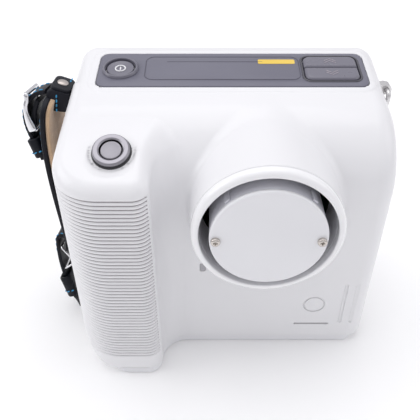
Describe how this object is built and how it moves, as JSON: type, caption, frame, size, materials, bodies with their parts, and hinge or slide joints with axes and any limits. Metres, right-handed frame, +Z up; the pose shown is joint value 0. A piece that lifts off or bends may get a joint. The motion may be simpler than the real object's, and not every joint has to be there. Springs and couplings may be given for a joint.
{
  "type": "intraoral x-ray unit",
  "caption": "Handheld dental x-ray unit: box body with ribbed grip, short beam cone, sloping control panel, trigger button and a padded hand strap.",
  "frame": {"origin": "centre of the base underside", "axes": "+X to the right, -Y to the front where the cone points, +Z up"},
  "size_m": [0.1691, 0.1026, 0.1312],
  "materials": {
    "white_shell": "smooth satin-gloss",
    "white_ring": "gloss",
    "grey_panel": "semi-gloss",
    "grey_key": "semi-gloss",
    "grey_metal": "satin anodised",
    "mark_white": "printed",
    "amber": "gloss",
    "dark_plastic": "matte",
    "rubber": "matte",
    "screw_steel": "satin",
    "chrome": "polished",
    "brass": "machined",
    "lens": "clear over black",
    "tube_glass": "clear",
    "tank_steel": "satin",
    "aluminium": "machined",
    "lead": "dull",
    "copper": "machined",
    "board": "solder mask",
    "winding": "potted",
    "cell": "sleeve",
    "leather": "smooth black",
    "suede": "napped tan"
  },
  "bodies": {
    "housing": {"front_shell": "white_shell", "rear_cover": "white_shell", "base_cover": "white_shell", "rubber_feet": "rubber", "base_screws": "screw_steel", "base_blocks": "white_shell", "shell_screws": "screw_steel", "tripod_insert": "brass", "cone_ring": "white_ring", "drum": "white_ring", "front_plate": "white_ring", "plate_screws": "screw_steel", "plate_clips": "aluminium", "cone_floor": "dark_plastic", "tank": "tank_steel", "tank_lid": "tank_steel", "beam_filter": "aluminium", "collimator": "lead", "glass_tube": "tube_glass", "anode": "copper", "cathode": "screw_steel", "hv_transformer": "winding", "drive_board": "board", "drive_caps": "dark_plastic", "control_board": "board", "panel_switches": "dark_plastic", "battery_pack": "cell", "battery_frame": "dark_plastic", "charge_socket": "dark_plastic", "top_panel": "grey_panel", "status_strip": "amber", "power_bezel": "grey_key", "key_bezel": "chrome", "exposure_bezel": "grey_metal", "exposure_switch": "dark_plastic", "display_lens": "lens", "display_module": "dark_plastic", "slot_insert": "dark_plastic", "pilot_lens": "dark_plastic", "ring_lug": "chrome", "strap_pad": "leather", "pad_lining": "suede", "outer_strap": "leather", "upper_tab": "leather", "rivet": "screw_steel", "upper_lug": "screw_steel", "buckle_frame": "chrome", "upper_keeper": "leather", "lower_strap": "leather", "lower_keeper": "leather", "lower_lug": "screw_steel", "lower_ring": "chrome"},
    "exposure": {"exposure_button": "grey_metal"},
    "power": {"power_button": "grey_key", "power_mark": "mark_white"},
    "up_key": {"key_up": "grey_key", "key_marks_up": "mark_white"},
    "down_key": {"key_down": "grey_key", "key_marks_down": "mark_white"},
    "side_ring": {"ring_loop": "chrome"}
  },
  "joints": [
    {"name": "exposure_press", "type": "slide", "parent": "housing", "child": "exposure", "axis": [0, 0.4131, -0.9107], "range_m": [0, 0.0014], "stiffness_N_per_m": 900},
    {"name": "power_press", "type": "slide", "parent": "housing", "child": "power", "axis": [0, 0.1633, -0.9866], "range_m": [0, 0.0006], "stiffness_N_per_m": 900},
    {"name": "key_up_press", "type": "slide", "parent": "housing", "child": "up_key", "axis": [0, 0.1633, -0.9866], "range_m": [0, 0.0006], "stiffness_N_per_m": 900},
    {"name": "key_down_press", "type": "slide", "parent": "housing", "child": "down_key", "axis": [0, 0.1633, -0.9866], "range_m": [0, 0.0006], "stiffness_N_per_m": 900},
    {"name": "ring_swing", "type": "hinge", "parent": "housing", "child": "side_ring", "pos_m": [0.073, 0.0096, 0.1206], "axis": [0, -1, 0], "range_deg": [0, 150]}
  ]
}
